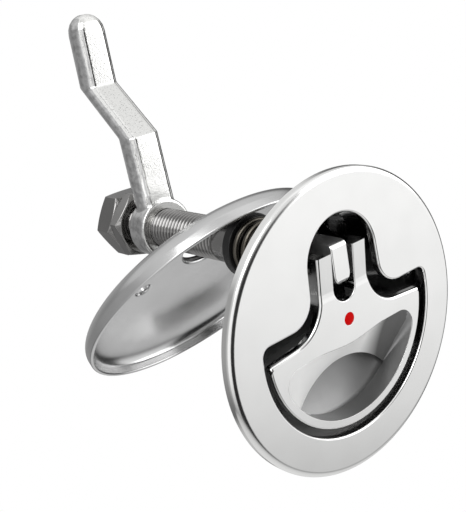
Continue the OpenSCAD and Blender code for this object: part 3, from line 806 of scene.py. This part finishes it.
def thread_tree():
    """A node tree that winds a thread: a grid wrapped round the axis, raised by its helix."""
    tree = new_tree("wound thread", {
        "Start": THREAD_START * MM, "End": STEM_END * MM, "Crest Radius": STEM_R * MM, "Depth": 0.8 * MM,
        "Pitch": 1.5 * MM, "Axis Height": SPINDLE_Z * MM})
    do, given = sums(tree), add(tree, "NodeGroupInput").outputs
    length = do("SUBTRACT", given["End"], given["Start"])
    turns = do("DIVIDE", length, given["Pitch"])
    rows = add(tree, "FunctionNodeFloatToInt", Float=do("MULTIPLY", turns, 12.0))
    grid = add(tree, "GeometryNodeMeshGrid", Size_X=1.0, Size_Y=1.0, Vertices_X=73)
    tree.links.new(rows.outputs[0], grid.inputs["Vertices Y"])
    place = add(tree, "GeometryNodeInputPosition").outputs[0]
    axes = add(tree, "ShaderNodeSeparateXYZ", i0=place).outputs
    around = do("ADD", axes["X"], 0.5)
    along = do("ADD", given["Start"], do("MULTIPLY", do("ADD", axes["Y"], 0.5), length))
    phase = do("FRACT", do("ADD", do("DIVIDE", along, given["Pitch"]), around))
    # A vee with a flat crest and a narrow root
    vee = do("MULTIPLY", do("ABSOLUTE", do("SUBTRACT", phase, 0.5)), VEE_SLOPE)
    flank = do("SUBTRACT", 1.0, do("MINIMUM", 1.0, do("MAXIMUM", 0.0, do("SUBTRACT", vee, CREST_SHARE))))
    # The thread runs out to nothing at both ends
    near = do("DIVIDE", do("SUBTRACT", along, given["Start"]), given["Pitch"])
    far = do("DIVIDE", do("SUBTRACT", given["End"], along), given["Pitch"])
    fade = do("MINIMUM", 1.0, do("MINIMUM", do("MAXIMUM", 0.0, near), do("MAXIMUM", 0.0, far)))
    sink = do("MULTIPLY", given["Depth"], do("SUBTRACT", 1.0, do("MULTIPLY", flank, fade)))
    radius = do("SUBTRACT", given["Crest Radius"], sink)
    angle = do("MULTIPLY", around, 2 * math.pi)
    x, rise = (do("MULTIPLY", radius, do(kind, angle)) for kind in ("COSINE", "SINE"))
    z = do("ADD", given["Axis Height"], rise)
    point = add(tree, "ShaderNodeCombineXYZ", X=x, Y=along, Z=z).outputs[0]
    wrapped = add(tree, "GeometryNodeSetPosition", Geometry=grid.outputs["Mesh"], Position=point)
    merged = add(tree, "GeometryNodeMergeByDistance", Geometry=wrapped.outputs[0], Distance=1e-6)
    finish_tree(tree, merged.outputs[0], given["Material"])
    return tree


def grown(name, tree, material, **values):
    """A plain mesh grown by a node tree, whose inputs are given by their names."""
    mesh = bpy.data.meshes.new(name)
    piece = bpy.data.objects.new(name, mesh)
    bpy.context.scene.collection.objects.link(piece)
    modifier = piece.modifiers.new(name, "NODES")
    modifier.node_group = tree
    values["Material"] = material
    for item in tree.interface.items_tree:
        if item.in_out == "INPUT" and item.name.replace(" ", "_") in values:
            modifier[item.identifier] = values[item.name.replace(" ", "_")]
    bpy.context.view_layer.update()
    return plain(piece)


def close_ends(piece):
    """Closes the open ends of a wound thread or wire and turns its faces outwards."""
    work = bmesh.new()
    work.from_mesh(piece.data)
    bmesh.ops.holes_fill(work, edges=[e for e in work.edges if e.is_boundary])
    bmesh.ops.recalc_face_normals(work, faces=work.faces)
    if work.calc_volume(signed=True) < 0:
        bmesh.ops.reverse_faces(work, faces=work.faces)
    work.to_mesh(piece.data)
    work.free()


class LOCK_OT_spindle(bpy.types.Operator):
    """Makes the spindle with its eye, head, shank and wound thread, and the two pins in it"""
    bl_idname = "lock.spindle"
    bl_label = "Spindle"

    def execute(self, context):
        sizes = context.scene.lock_sizes
        steel = machined_steel()
        corner = LUG_CORNER
        low, high = SPINDLE_Z - LUG_R + corner, SPINDLE_Z + LUG_R - corner
        tab = arc(LUG_FRONT + corner, high, corner, 180, 90, 12)
        tab += [(HEAD_Y + 1.4, SPINDLE_Z + LUG_R), (HEAD_Y + 1.4, SPINDLE_Z - LUG_R)]
        tab += arc(LUG_FRONT + corner, low, corner, 270, 180, 12)
        eye = sideways("spindle_eye", tab, -LUG_W / 2, LUG_W / 2)
        # Seen from the front, the eye's lower end is a half round
        front = arc(0, SPINDLE_Z - LUG_R + LUG_W / 2, LUG_W / 2, 180, 360, 24)
        front += [(LUG_W / 2, SPINDLE_Z + LUG_R + 1), (-LUG_W / 2, SPINDLE_Z + LUG_R + 1)]
        cut(eye, prism("eye_front", front, LUG_FRONT - 1, HEAD_Y + 2), "INTERSECT")
        round_edges(eye, LUG_ROUND, segments=4, angle=40, chosen=lambda p: p.y < HEAD_Y)
        cut(eye, turned("head", rounded_bar(HEAD_DISC_R, HEAD_FRONT_Y, HEAD_BACK_Y, HEAD_ROUND)), "UNION")
        shank = [(0, HEAD_BACK_Y - 0.5), (STEM_R, HEAD_BACK_Y - 0.5), (STEM_R, THREAD_START + 0.2),
                 (SHANK_END_R, SHANK_END), (0, SHANK_END)]
        cut(eye, turned("shank", shank), "UNION")
        cut(eye, bar_x("hole", PIN_R + PIN_FIT, PIN_LENGTH, PIN_Y, 0.05))
        cut(eye, bar_x("cross_hole", RETAINER_R + RETAINER_FIT, RETAINER_LENGTH, RETAINER_Y, 0.05))
        dress(eye, "spindle", [steel, polished_steel(), brushed_wall_in_painted_shade()], ["spindle"])
        # The eye's front is polished; its other faces in the cup take the mid grey of painted shade
        for face in eye.data.polygons:
            depth = face.center.y / MM
            if depth < HEAD_Y:
                face.material_index = 1 if face.normal.y < -0.3 and depth < HEAD_Y / 2 else 2
        # The thread's material paints shade into its roots
        root_shaded_steel = thread_with_painted_root_shade()
        thread = grown("spindle_thread", thread_tree(), root_shaded_steel, Start=THREAD_START * MM, End=STEM_END * MM,
                       Crest_Radius=STEM_R * MM, Depth=sizes.thread_depth * MM,
                       Pitch=sizes.thread_pitch * MM, Axis_Height=SPINDLE_Z * MM)
        close_ends(thread)
        dress(thread, "spindle", [root_shaded_steel, steel], angle=50, scale=1)
        for face in thread.data.polygons:
            if face.center.y > (STEM_END - NEAR) * MM:
                face.material_index = 1
        pin = bar_x("hinge_pin_bar", PIN_R, PIN_LENGTH, PIN_Y, PIN_ROUND)
        dress(pin, "spindle", [steel], ["hinge_pin"])
        cross = bar_x("cross_pin", RETAINER_R, RETAINER_LENGTH, RETAINER_Y, RETAINER_ROUND)
        dress(cross, "spindle", [steel], ["retaining_pin"])
        finish_node("seal_ring", black_plastic())
        finish_node("seat_washer", black_plastic())
        return {"FINISHED"}


# Spring and washer

COIL_R, COIL_KEEP = 7.2, 0.7
THRUST_R, THRUST_ROUND, THRUST_FIT = 8.8, 0.35, 0.02


def spring_tree():
    """A node tree that winds a wire with closed ends and sweeps a round section along it."""
    tree = new_tree("wound spring", {
        "Start": 18.8 * MM, "Travel": 10.1 * MM, "Coil Radius": COIL_R * MM, "Wire Radius": 0.8 * MM,
        "Turns": 4.0, "Axis Height": SPINDLE_Z * MM})
    do, given = sums(tree), add(tree, "NodeGroupInput").outputs
    line = add(tree, "GeometryNodeCurvePrimitiveLine", End=(0.0, 0.0, 1.0))
    fine = add(tree, "GeometryNodeResampleCurve", Curve=line.outputs[0], Count=4 * 48 + 1)
    share = add(tree, "GeometryNodeSplineParameter").outputs["Factor"]
    # The first and last half turn lie flat on their seats
    flat = do("DIVIDE", 0.5, given["Turns"])
    climb = do("DIVIDE", do("SUBTRACT", share, flat), do("SUBTRACT", 1.0, do("MULTIPLY", 2.0, flat)))
    rise = do("MINIMUM", 1.0, do("MAXIMUM", 0.0, climb))
    angle = do("MULTIPLY", do("MULTIPLY", share, given["Turns"]), 2 * math.pi)
    x, height = (do("MULTIPLY", given["Coil Radius"], do(kind, angle)) for kind in ("COSINE", "SINE"))
    y = do("ADD", given["Start"], do("MULTIPLY", given["Travel"], rise))
    z = do("ADD", given["Axis Height"], height)
    point = add(tree, "ShaderNodeCombineXYZ", X=x, Y=y, Z=z).outputs[0]
    wound = add(tree, "GeometryNodeSetPosition", Geometry=fine.outputs[0], Position=point)
    section = add(tree, "GeometryNodeCurvePrimitiveCircle", Resolution=20, Radius=given["Wire Radius"])
    swept = add(tree, "GeometryNodeCurveToMesh", Curve=wound.outputs[0], Profile_Curve=section.outputs[0],
                Fill_Caps=True)
    finish_tree(tree, swept.outputs[0], given["Material"])
    return tree


class LOCK_OT_spring(bpy.types.Operator):
    """Makes the compression spring and the black washer that it pushes on"""
    bl_idname = "lock.spring"
    bl_label = "Spring and washer"

    def execute(self, context):
        sizes = context.scene.lock_sizes
        wire = spring_steel()
        radius = sizes.wire_radius
        coil = grown("coil_spring", spring_tree(), wire, Start=(BOSS_END + radius) * MM,
                     Travel=(THRUST_Y - BOSS_END - 2 * radius) * MM, Coil_Radius=COIL_R * MM,
                     Wire_Radius=radius * MM, Turns=sizes.spring_turns, Axis_Height=SPINDLE_Z * MM)
        close_ends(coil)
        dress(coil, "housing", [wire], ["spring"], angle=60, scale=1)
        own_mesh(coil)
        back = RETAINER_Y - RETAINER_R - THRUST_FIT
        washer = turned("black_washer", rounded_bar(THRUST_R, THRUST_Y, back, THRUST_ROUND, BORE_R))
        dress(washer, "thrust_washer", [black_plastic()], ["thrust_washer"])
        return {"FINISHED"}


# Backing plate

SHEET_R, SHEET_DEPTH, SHEET_T, SKIRT = 40.5, 8.0, 1.2, 2.2
SHEET_OFFSET, COLLAR, STEM_HOLE_R = 16.0, 1.0, 10.01
SCREW_HOLE_R, SCREW_APART, SCREW_RISE = 2.2, 40.0, 2.5
# Where the dish's wall starts to curve up, in how many steps, and how far the sheet is drawn into its holes
CURVE_START, CURVE_STEPS, DRAWN = 22.0, 40, 0.8


def sheet_section():
    """The dish in section: a flat bottom, a wall that curves up and a short upright skirt."""
    reach, rise = SHEET_R - SHEET_T - CURVE_START, SHEET_DEPTH - SKIRT
    angles = [math.radians(90 * i / CURVE_STEPS) for i in range(CURVE_STEPS + 1)]
    inner = [(CURVE_START + reach * math.sin(a) ** 1.1, rise * (1 - math.cos(a)) ** 1.15) for a in angles]
    outer = []
    for (r0, h0), (r1, h1) in zip(inner, inner[1:]):
        share = SHEET_T / (math.hypot(r1 - r0, h1 - h0) or 1)
        outer.append(((r0 + r1) / 2 + (h1 - h0) * share, (h0 + h1) / 2 - (r1 - r0) * share))
    lip = arc(SHEET_R - SHEET_T / 2, SHEET_DEPTH - SHEET_T / 2, SHEET_T / 2, 180, 0, 12)
    return [(0, 0)] + inner + lip + outer[::-1] + [(0, -SHEET_T)]


class LOCK_OT_plate(bpy.types.Operator):
    """Makes the dished backing plate that leans on the spindle"""
    bl_idname = "lock.plate"
    bl_label = "Backing plate"

    def execute(self, context):
        plate = turned("dished_plate", sheet_section(), 0, 192)
        holes = [(0, SHEET_OFFSET, STEM_HOLE_R)]
        holes += [(side * SCREW_APART / 2, SCREW_RISE, SCREW_HOLE_R) for side in (-1, 1)]
        for x, z, radius in holes:
            ring = rounded_bar(radius + SHEET_T, -SHEET_T - COLLAR, -SHEET_T + 0.3, 0.25)
            collar = turned("collar", ring, z, 96)
            move(collar, Matrix.Translation((x, 0, 0)))
            cut(plate, collar, "UNION")
        for x, z, radius in holes:
            # The sheet is drawn down into each collar, so the edge of a hole is well rounded
            flare = arc(radius + DRAWN, -DRAWN, DRAWN, 90, 180, 8)
            end = -SHEET_T - COLLAR - 1
            profile = [(0, 2), (radius + DRAWN, 2)] + flare + [(radius, end), (0, end)]
            tool = turned("drawn_hole", profile, z, 96)
            move(tool, Matrix.Translation((x, 0, 0)))
            cut(plate, tool)
        # Section heights ran along Y; turn them to the CAD plate's own axis, then lean the plate
        stand = Matrix.Rotation(math.radians(90), 4, "X")
        lean = Matrix.Translation((0, PLATE_Y, SPINDLE_Z)) @ Matrix.Rotation(
            math.radians(90 + PLATE_TILT), 4, "X") @ Matrix.Translation(
            (0, -SHEET_OFFSET, (SHEET_T + COLLAR) / 2))
        move(plate, lean @ stand @ Matrix.Scale(-1, 4, (0, 0, 1)))
        face_outwards(plate)
        dress(plate, "spindle", [pressed_steel()], ["backing_plate"], angle=40)
        return {"FINISHED"}


# Arm and nuts

HUB_T, HUB_R, HUB_ROUND, ARM_W, ARM_T = 7.5, 9.0, 0.8, 12.0, 7.6
ARM_TIP, ARM_OFFSET, TIP_SHARE = 64.5, 18.0, 0.9
# Places along the arm: height above the spindle, offset behind the hub, and shares of the full width, of the
# full thickness and of the front face's width
ARM_STATIONS = [(3.0, 0, 1.0, 1.0, 1.0), (8.0, 0.3, 1.0, 1.0, 1.0), (28.5, 1.5, 0.97, 1.0, 1.0),
                (43.5, ARM_OFFSET, 0.93, 1.0, 1.0)]
# The tip is a half round that also thins towards its end
for angle in (0, 18, 36, 54, 68, 80):
    part, gone = math.cos(math.radians(angle)), 1 - math.sin(math.radians(angle))
    ARM_STATIONS.append((ARM_TIP - ARM_W / 2 * TIP_SHARE * gone, ARM_OFFSET, TIP_SHARE * part,
                         0.3 + 0.7 * part, max(0.1, 1.06 * part - 0.1)))
# Half of the bar's section as shares of its half width and half thickness: a flat face, a small step down
# from it, and a full, rounded side
ARM_SIDE = [(0.62, 1.0), (0.65, 0.9), (0.8, 0.82), (0.9, 0.66), (1.0, 0.2), (1.0, -0.2), (0.9, -0.66),
            (0.8, -0.82), (0.65, -0.9), (0.62, -1.0)]
# Faces of the arm whose normal leans further sideways than this count as sides and take the painted shade
SIDE_NORMAL = 0.5


def arm_bar():
    """The cranked bar of the arm, lofted through sections with rounded sides."""
    points = []
    for z, offset, share, thick_share, face_share in ARM_STATIONS:
        middle = ARM_Y + offset + ARM_T / 2
        w, t = ARM_W * share / 2, ARM_T * thick_share / 2
        side = [(x * (face_share if abs(y) == 1 else 1), y) for x, y in ARM_SIDE]
        for x, y in [(-x, y) for x, y in side] + side[::-1]:
            points.append((x * w, middle + y * t, SPINDLE_Z + z))
    return lofted("cranked_bar", points, 2 * len(ARM_SIDE))


class LOCK_OT_arm(bpy.types.Operator):
    """Makes the cast locking arm with its hub"""
    bl_idname = "lock.arm"
    bl_label = "Locking arm"

    def execute(self, context):
        sizes = context.scene.lock_sizes
        arm = turned("locking_arm", rounded_bar(HUB_R, ARM_Y, ARM_Y + HUB_T, HUB_ROUND), count=96)
        cut(arm, arm_bar(), "UNION")
        skin = arm.modifiers.new("skin", "REMESH")
        skin.mode = "VOXEL"
        skin.voxel_size = sizes.arm_skin
        soften = arm.modifiers.new("soften", "SMOOTH")
        soften.factor = 0.5
        soften.iterations = 2
        bpy.context.view_layer.update()
        plain(arm)
        cut(arm, plug("arm_bore", THREAD_HOLE_R, ARM_Y - 1, ARM_Y + HUB_T + 1))
        dress(arm, "spindle", [satin_casting(), arm_side_in_painted_shade()], ["arm"], angle=45)
        # The arm's faces that turn sideways take the darker side colour: painted shade
        for face in arm.data.polygons:
            if abs(face.normal.x) > SIDE_NORMAL:
                face.material_index = 1
        return {"FINISHED"}


# Width across the flats, its share that the turned face has, the angle it is turned at, and the countersink
NUT_AF, NUT_FACE_SHARE, NUT_ANGLE, NUT_ROUND = 19.0, 0.475, 25, 0.18
SINK_R, SINK_DEPTH = 7.1, 0.9
JAM_T, JAM_TWIST, END_NUT_T = 4.6, -14, 8.0


def nut(name, y, thickness, twist=0):
    """A hexagon nut with turned corners, softened edges and a countersunk hole."""
    corner = NUT_AF / 2 / math.cos(math.radians(30))
    outline = arc(0, SPINDLE_Z, corner, twist, twist + 300, 5)
    piece = prism(name, outline, y, y + thickness)
    face_r, turned_r = NUT_AF * NUT_FACE_SHARE, corner + 0.5
    slope = (turned_r - face_r) * math.tan(math.radians(NUT_ANGLE))
    end = y + thickness
    turning = [(0, y), (face_r, y), (turned_r, y + slope), (turned_r, end - slope), (face_r, end), (0, end)]
    cut(piece, turned("turning", turning), "INTERSECT")
    hole = [(0, y - 1), (SINK_R, y - 1), (SINK_R, y - 0.01), (THREAD_HOLE_R, y + SINK_DEPTH),
            (THREAD_HOLE_R, end - SINK_DEPTH), (SINK_R, end + 0.01), (SINK_R, end + 1), (0, end + 1)]
    cut(piece, turned("hole", hole))
    round_edges(piece, NUT_ROUND, segments=2, angle=20)
    return piece


class LOCK_OT_nuts(bpy.types.Operator):
    """Makes the jam nut and the end nut"""
    bl_idname = "lock.nuts"
    bl_label = "Nuts"

    def execute(self, context):
        steel = machined_steel()
        jam = nut("jam_nut_hex", JAM_Y, JAM_T, JAM_TWIST)
        dress(jam, "spindle", [steel], ["jam_nut"])
        end = nut("end_nut_hex", END_NUT_Y, END_NUT_T)
        dress(end, "spindle", [steel], ["end_nut"])
        return {"FINISHED"}


# Stage

# The camera of the photograph: its angles, its distance from the origin in millimetres, its focal length in
# pixels, and the picture's width and centre and the origin's place in it, in pixels
CAMERA_ANGLES = (36.39, 18.37, -10.50)
CAMERA_DISTANCE, FOCAL_PIXELS, PICTURE_WIDTH = 200.0, 826.0, 466
PICTURE_CENTRE, ORIGIN_PIXEL = (233.0, 256.0), (344.60, 322.01)
SENSOR_MM = 36

# In metres: the lamps' size, the point they are aimed at, and half the floor's width and its drop
LAMP_SIZE, LAMP_AIM = 0.5, (0, 0.03, 0.01)
FLOOR_HALF, FLOOR_DROP = 1.5, 0.05

# Levels of the room that the metal mirrors. Round the lock: 0 is straight ahead of its face, 0.5 its right
# and -0.5 its left, so a white wall stands front right and another front left, with dark gaps beside them.
WALL_STOPS = ((-1.0, 0.42), (-0.8, 0.32), (-0.4, 0.55), (-0.32, 0.95), (-0.11, 0.95), (-0.06, 0.03),
              (0.13, 0.03), (0.18, 1.0), (0.42, 1.0), (0.47, 0.08), (0.72, 0.1), (0.85, 0.4), (1.0, 0.42))
# By height, from -1 straight down to 1 straight up: what is left of the walls, the table and the ceiling
HEIGHT_STOPS = ((-1.0, 0.02), (-0.75, 0.1), (-0.6, 0.45), (-0.5, 0.72), (-0.4, 0.88), (-0.25, 1.0))
TABLE_STOPS = ((-1.0, 0.75), (-0.8, 0.66), (-0.7, 0.5), (-0.62, 0.02))
CEILING_STOPS = ((0.0, 0.0), (0.25, 0.15), (0.5, 0.7), (1.0, 0.85))


def camera():
    """The camera of the photograph: left of the lock, above it and rolled a little."""
    azimuth, elevation, roll = (math.radians(a) for a in CAMERA_ANGLES)
    look = Vector((math.sin(azimuth) * math.cos(elevation), math.cos(azimuth) * math.cos(elevation),
                   -math.sin(elevation)))
    level = Vector((math.cos(azimuth), -math.sin(azimuth), 0))
    rise = level.cross(look)
    right = math.cos(roll) * level + math.sin(roll) * rise
    up = -math.sin(roll) * level + math.cos(roll) * rise
    across = (ORIGIN_PIXEL[0] - PICTURE_CENTRE[0]) / FOCAL_PIXELS * CAMERA_DISTANCE
    above = -(ORIGIN_PIXEL[1] - PICTURE_CENTRE[1]) / FOCAL_PIXELS * CAMERA_DISTANCE
    place = -(across * right + above * up + CAMERA_DISTANCE * look) * MM
    data = bpy.data.cameras.new("studio camera")
    data.sensor_fit = "HORIZONTAL"
    data.sensor_width = SENSOR_MM
    data.lens = FOCAL_PIXELS / PICTURE_WIDTH * SENSOR_MM
    data.clip_start = 0.01
    data.clip_end = 20
    shot = bpy.data.objects.new("studio camera", data)
    shot.matrix_world = Matrix(((right.x, up.x, -look.x, place.x), (right.y, up.y, -look.y, place.y),
                                (right.z, up.z, -look.z, place.z), (0, 0, 0, 1)))
    bpy.context.scene.collection.objects.link(shot)
    bpy.context.scene.camera = shot


def lamp(name, place, watts):
    """A soft square lamp that is aimed at the lock."""
    data = bpy.data.lights.new(name, "AREA")
    data.shape = "RECTANGLE"
    data.size = data.size_y = LAMP_SIZE
    data.energy = watts
    lamp_object = bpy.data.objects.new(name, data)
    lamp_object.location = place
    lamp_object.rotation_euler = (Vector(LAMP_AIM) - Vector(place)).to_track_quat("-Z", "Y").to_euler()
    bpy.context.scene.collection.objects.link(lamp_object)


def white_room():
    """White to the camera; in reflections a bright front, a pale ceiling and a dim rest."""
    world = bpy.data.worlds.new("white room")
    world.use_nodes = True
    bpy.context.scene.world = world
    tree = world.node_tree
    tree.nodes.clear()
    path = add(tree, "ShaderNodeLightPath").outputs
    way = add(tree, "ShaderNodeTexCoord").outputs["Generated"]
    side = add(tree, "ShaderNodeSeparateXYZ", i0=way).outputs
    do = sums(tree)
    around = do("DIVIDE", do("ARCTAN2", side["X"], do("MULTIPLY", side["Y"], -1.0)), math.pi)
    height = side["Z"]
    walls = stepped(tree, around, -1, WALL_STOPS)
    shaded = do("MULTIPLY", walls, stepped(tree, height, -1, HEIGHT_STOPS))
    ceiling = stepped(tree, height, 0, CEILING_STOPS)
    table = stepped(tree, height, -1, TABLE_STOPS)
    mirror = do("MAXIMUM", shaded, do("MAXIMUM", table, ceiling))
    plain_light = add(tree, "ShaderNodeBackground", Color=(1, 1, 1, 1), Strength=0.6)
    mirror_light = add(tree, "ShaderNodeBackground", Color=(1, 1, 1, 1), Strength=mirror)
    seen_light = add(tree, "ShaderNodeBackground", Color=(1, 1, 1, 1), Strength=1.0)
    shiny = do("MAXIMUM", path["Is Glossy Ray"], path["Is Transmission Ray"])
    first = add(tree, "ShaderNodeMixShader", i0=shiny, i1=plain_light.outputs[0],
                i2=mirror_light.outputs[0])
    second = add(tree, "ShaderNodeMixShader", i0=path["Is Camera Ray"], i1=first.outputs[0],
                 i2=seen_light.outputs[0])
    tree.links.new(second.outputs[0], add(tree, "ShaderNodeOutputWorld").inputs["Surface"])


def stepped(tree, value, low, stops):
    """A level that follows a value through a few stops, from low to 1."""
    span = add(tree, "ShaderNodeMapRange", Value=value, From_Min=float(low), From_Max=1.0)
    ramp = add(tree, "ShaderNodeValToRGB", Fac=span.outputs["Result"])
    elements = ramp.color_ramp.elements
    while len(elements) < len(stops):
        elements.new(0.5)
    for element, (position, level) in zip(elements, stops):
        element.position = (position - low) / (1 - low)
        element.color = (level, level, level, 1)
    return ramp.outputs["Color"]


class LOCK_OT_stage(bpy.types.Operator):
    """Makes the pale floor, the soft light and the camera"""
    bl_idname = "lock.stage"
    bl_label = "Stage"

    def execute(self, context):
        floor_z = cad_box[0][2] - FLOOR_DROP
        signs = ((-1, -1), (1, -1), (1, 1), (-1, 1))
        corners = [(x * FLOOR_HALF, y * FLOOR_HALF, floor_z) for x, y in signs]
        mesh = bpy.data.meshes.new("floor")
        mesh.from_pydata(corners, [], [(0, 1, 2, 3)])
        floor = bpy.data.objects.new("floor", mesh)
        bpy.context.scene.collection.objects.link(floor)
        material, tree, shader = new_material("pale paper floor")
        shader.inputs["Base Color"].default_value = (0.9, 0.9, 0.9, 1)
        shader.inputs["Roughness"].default_value = 0.9
        path = add(tree, "ShaderNodeLightPath").outputs
        white = add(tree, "ShaderNodeEmission", Color=(1, 1, 1, 1), Strength=1.0)
        seen = add(tree, "ShaderNodeMixShader", i0=path["Is Camera Ray"], i1=shader.outputs[0],
                   i2=white.outputs[0])
        tree.links.new(seen.outputs[0], tree.nodes["Material Output"].inputs["Surface"])
        mesh.materials.append(material)
        floor.visible_glossy = False
        lamp("key", (-0.35, -0.45, 0.55), 2)
        lamp("fill", (0.5, -0.35, 0.2), 1)
        white_room()
        camera()
        context.scene.view_settings.view_transform = "Standard"
        return {"FINISHED"}


class LOCK_PT_panel(bpy.types.Panel):
    """Lists the lock's pieces, sizes and colours"""
    bl_idname = "LOCK_PT_panel"
    bl_label = "Turning lock"
    bl_space_type = "VIEW_3D"
    bl_region_type = "UI"
    bl_category = "Turning lock"

    def draw(self, context):
        for kind in PIECES:
            self.layout.operator(kind.bl_idname)
        for group in (context.scene.lock_sizes, context.scene.lock_finish):
            for name in group.bl_rna.properties.keys():
                if name not in ("rna_type", "name"):
                    self.layout.prop(group, name)


PIECES = (LOCK_OT_housing, LOCK_OT_handle, LOCK_OT_spindle, LOCK_OT_spring, LOCK_OT_plate, LOCK_OT_arm,
          LOCK_OT_nuts, LOCK_OT_stage)


def register():
    for kind in (LockSizes, LockFinish) + PIECES + (LOCK_PT_panel,):
        bpy.utils.register_class(kind)
    bpy.types.Scene.lock_sizes = bpy.props.PointerProperty(type=LockSizes)
    bpy.types.Scene.lock_finish = bpy.props.PointerProperty(type=LockFinish)


def unregister():
    del bpy.types.Scene.lock_finish
    del bpy.types.Scene.lock_sizes
    for kind in reversed((LockSizes, LockFinish) + PIECES + (LOCK_PT_panel,)):
        bpy.utils.unregister_class(kind)


def main():
    register()
    bpy.ops.lock.housing()
    bpy.ops.lock.handle()
    bpy.ops.lock.spindle()
    bpy.ops.lock.spring()
    bpy.ops.lock.plate()
    bpy.ops.lock.arm()
    bpy.ops.lock.nuts()
    bpy.ops.lock.stage()


if __name__ == "__main__":
    main()
